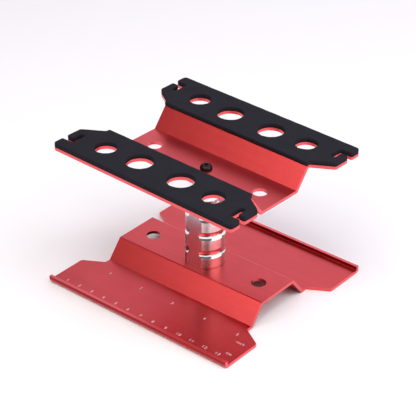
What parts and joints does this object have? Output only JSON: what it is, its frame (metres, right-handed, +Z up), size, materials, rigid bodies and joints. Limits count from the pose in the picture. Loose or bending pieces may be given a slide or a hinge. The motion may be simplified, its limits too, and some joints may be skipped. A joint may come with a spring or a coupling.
{
  "type": "model work stand",
  "caption": "Low bench stand for small models: a folded sheet base with a printed ruler, a grooved telescoping column, and a padded platform that turns and lifts.",
  "frame": {"origin": "on the table under the column's axis", "axes": "+X along the base plate and its ruler, +Y to the rear, +Z up"},
  "size_m": [0.1446, 0.134, 0.0945],
  "materials": {
    "red_plate": "red anodised, satin",
    "turned_aluminium": "turned, bright",
    "zinc_steel": "zinc plated",
    "black_steel": "black oxide",
    "nylon": "natural nylon",
    "bronze": "sintered bronze",
    "foam": "closed-cell foam, matt"
  },
  "bodies": {
    "base": {"base_plate": "red_plate", "column_body": "turned_aluminium", "foot_plug": "zinc_steel", "base_screw": "black_steel", "base_washer": "zinc_steel", "locating_pin": "zinc_steel", "guide_bush": "nylon", "height_set_screw": "black_steel", "set_screw_tip": "nylon"},
    "lift": {"lift_tube": "turned_aluminium", "stop_ring": "zinc_steel", "swivel_bush": "bronze", "thrust_washer": "nylon"},
    "platform": {"swivel_spindle": "turned_aluminium", "spindle_washer": "zinc_steel", "spindle_clip": "zinc_steel", "top_plate": "red_plate", "front_pad": "foam", "rear_pad": "foam", "centre_screw": "black_steel"}
  },
  "joints": [
    {"name": "lift_slide", "type": "slide", "parent": "base", "child": "lift", "axis": [0, 0, 1], "range_m": [0, 0.024]},
    {"name": "platform_swivel", "type": "hinge", "parent": "lift", "child": "platform", "pos_m": [0, 0, 0.0723], "axis": [0, 0, 1], "continuous": true}
  ]
}
